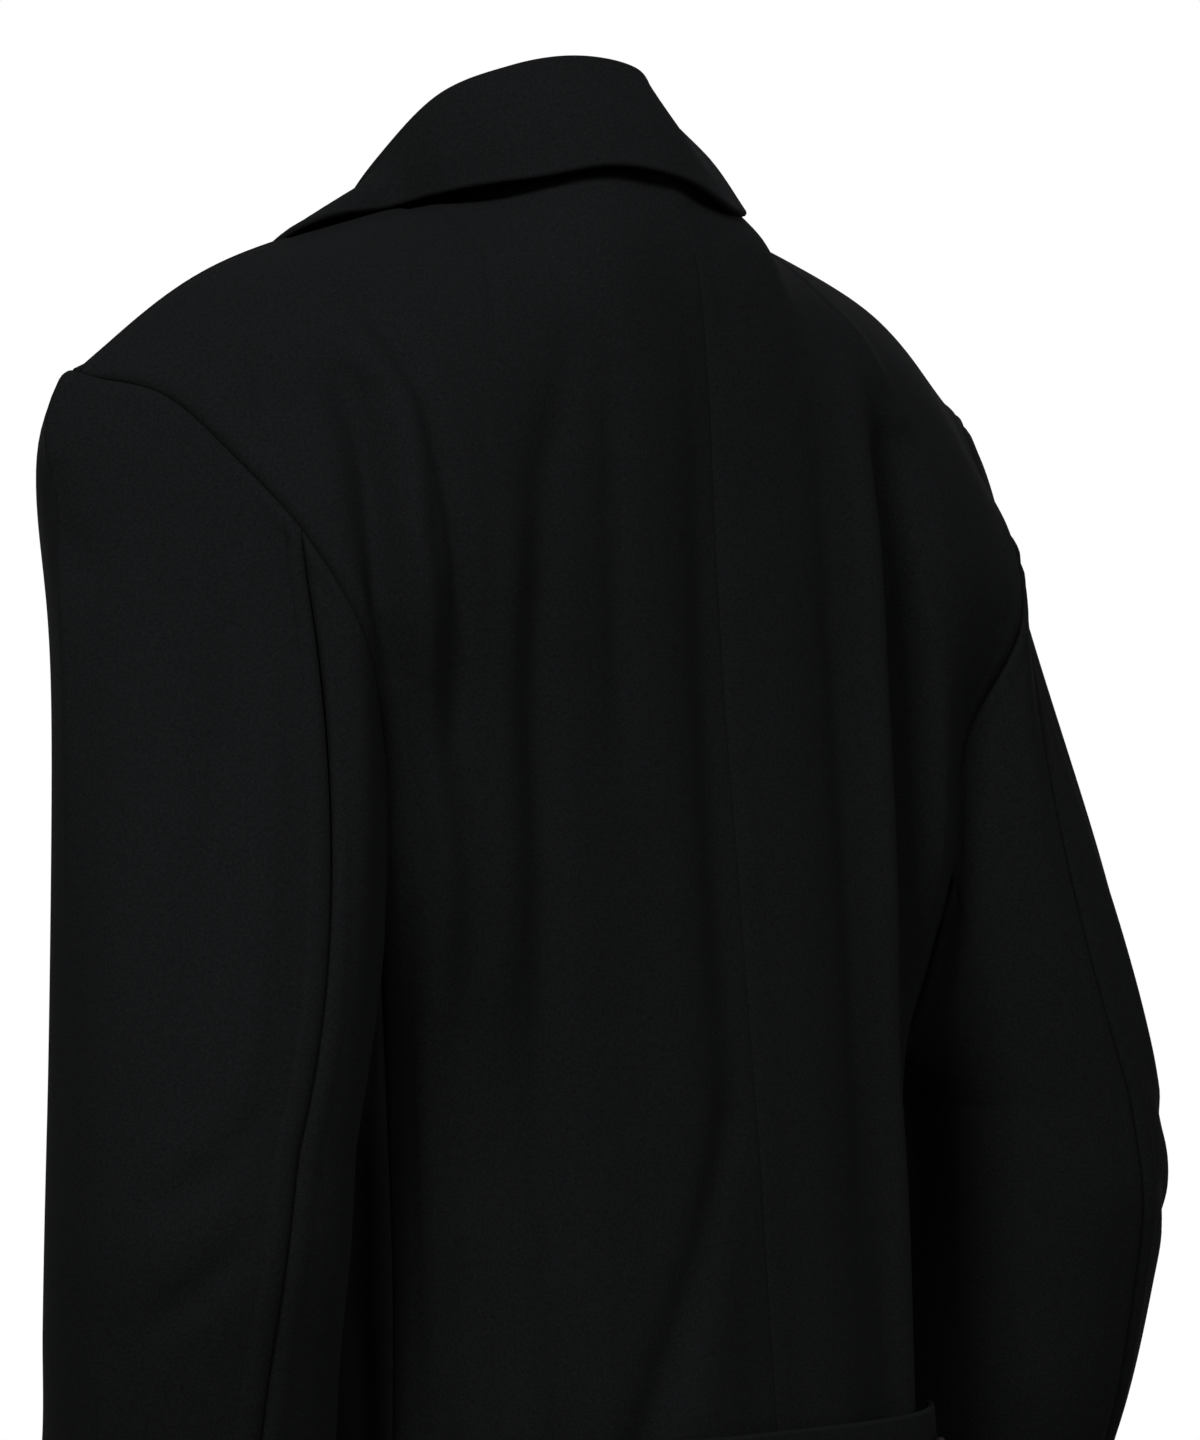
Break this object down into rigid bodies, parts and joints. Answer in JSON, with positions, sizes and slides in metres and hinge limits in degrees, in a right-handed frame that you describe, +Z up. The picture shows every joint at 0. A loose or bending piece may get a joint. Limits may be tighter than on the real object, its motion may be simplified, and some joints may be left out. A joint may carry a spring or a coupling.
{
  "type": "pea coat",
  "caption": "Hollow wool pea coat in worn shape, with turned-down collar, lapels, bent sleeves, welt pockets and a buttoned half-belt across the back.",
  "frame": {"origin": "on the neck's axis, level with the points where the shoulder seams meet the collar, where the wearer's shoulders hold the coat", "axes": "+Z up along the neck's axis, -Y towards the front of the coat, +X towards the wearer's left"},
  "size_m": [0.658, 0.326, 0.857],
  "materials": {
    "wool": "matte melton wool, very dark blue-black, short felted nap",
    "button": "dark horn-like button, satin"
  },
  "bodies": {
    "root": {"back_left": "wool", "back_right": "wool", "side_left": "wool", "side_right": "wool", "front_left": "wool", "front_right": "wool", "lapel_left": "wool", "lapel_right": "wool", "collar": "wool", "sleeve_top_left": "wool", "sleeve_top_right": "wool", "sleeve_under_left": "wool", "sleeve_under_right": "wool", "pocket_welt_left": "wool", "pocket_welt_right": "wool", "half_belt": "wool", "button_front_1_1": "button", "button_front_1_2": "button", "button_front_2_1": "button", "button_front_2_2": "button", "button_front_3_1": "button", "button_front_3_2": "button", "button_belt_left": "button", "button_belt_right": "button"}
  },
  "joints": []
}
